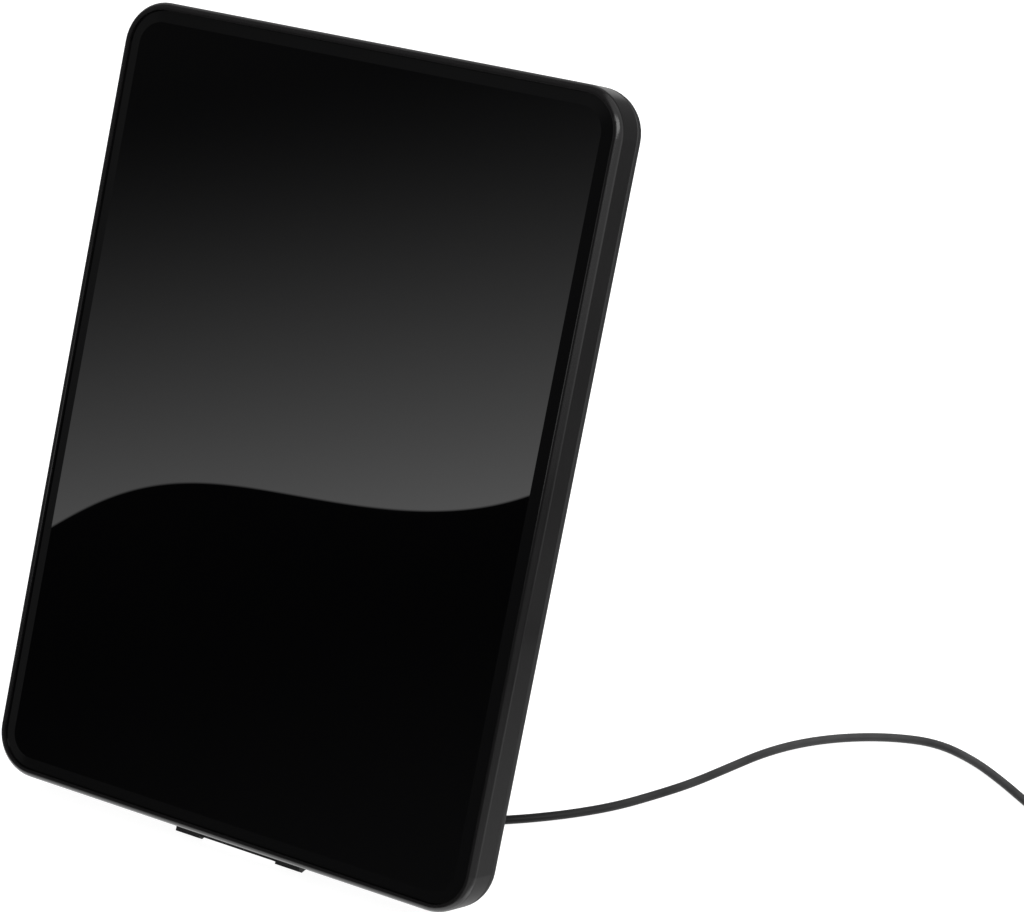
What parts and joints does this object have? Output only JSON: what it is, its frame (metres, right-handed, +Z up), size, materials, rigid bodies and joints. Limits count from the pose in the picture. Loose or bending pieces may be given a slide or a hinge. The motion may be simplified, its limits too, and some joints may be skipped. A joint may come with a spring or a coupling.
{
  "type": "flat indoor tv antenna",
  "caption": "Flat indoor TV antenna: a gloss black leaning panel on moulded feet and a fold-out rear leg, with a thin coax lead, a put-away coil and an aerial plug.",
  "frame": {"origin": "on the table, under the middle of the panel's width and depth", "axes": "+Z up, +X to the right seen from the front, the front faces -Y and leans back towards +Y"},
  "size_m": [0.3614, 0.2466, 0.2571],
  "materials": {
    "satin_black": "satin",
    "gloss_black": "high gloss",
    "rear_black": "fine texture",
    "leg_black": "fine texture",
    "pad_rubber": "matt",
    "pin_steel": "brushed",
    "screw_steel": "zinc",
    "board_green": "semi-gloss",
    "copper": "bright",
    "ferrite": "matt",
    "lead_jacket": "satin",
    "grommet_rubber": "matt",
    "tie_black": "matt",
    "plug_black": "satin",
    "contact_nickel": "bright",
    "insulator_white": "matt"
  },
  "bodies": {
    "panel": {"front_bezel": "satin_black", "front_lens": "gloss_black", "rear_cover": "rear_black", "foot_pads": "pad_rubber", "hinge_pin": "pin_steel", "case_screws": "screw_steel", "board_screws": "screw_steel", "clamp_screws": "screw_steel", "radiator_board": "board_green", "radiator_foil": "copper", "balun_core": "ferrite", "balun_winding": "copper", "lead_tail": "lead_jacket", "cable_clamp": "rear_black", "lead_grommet": "grommet_rubber", "coax_lead": "lead_jacket", "lead_coil": "lead_jacket", "coil_tie": "tie_black", "lead_end": "lead_jacket", "plug_grip": "plug_black", "plug_sleeve": "contact_nickel", "plug_insulator": "insulator_white", "plug_pin": "contact_nickel"},
    "stand": {"stand_leg": "leg_black", "stand_foot": "pad_rubber"}
  },
  "joints": [
    {"name": "stand_fold", "type": "hinge", "parent": "panel", "child": "stand", "pos_m": [0, 0.00537, 0.12301], "axis": [-1, 0, 0], "range_deg": [0, 40]}
  ]
}
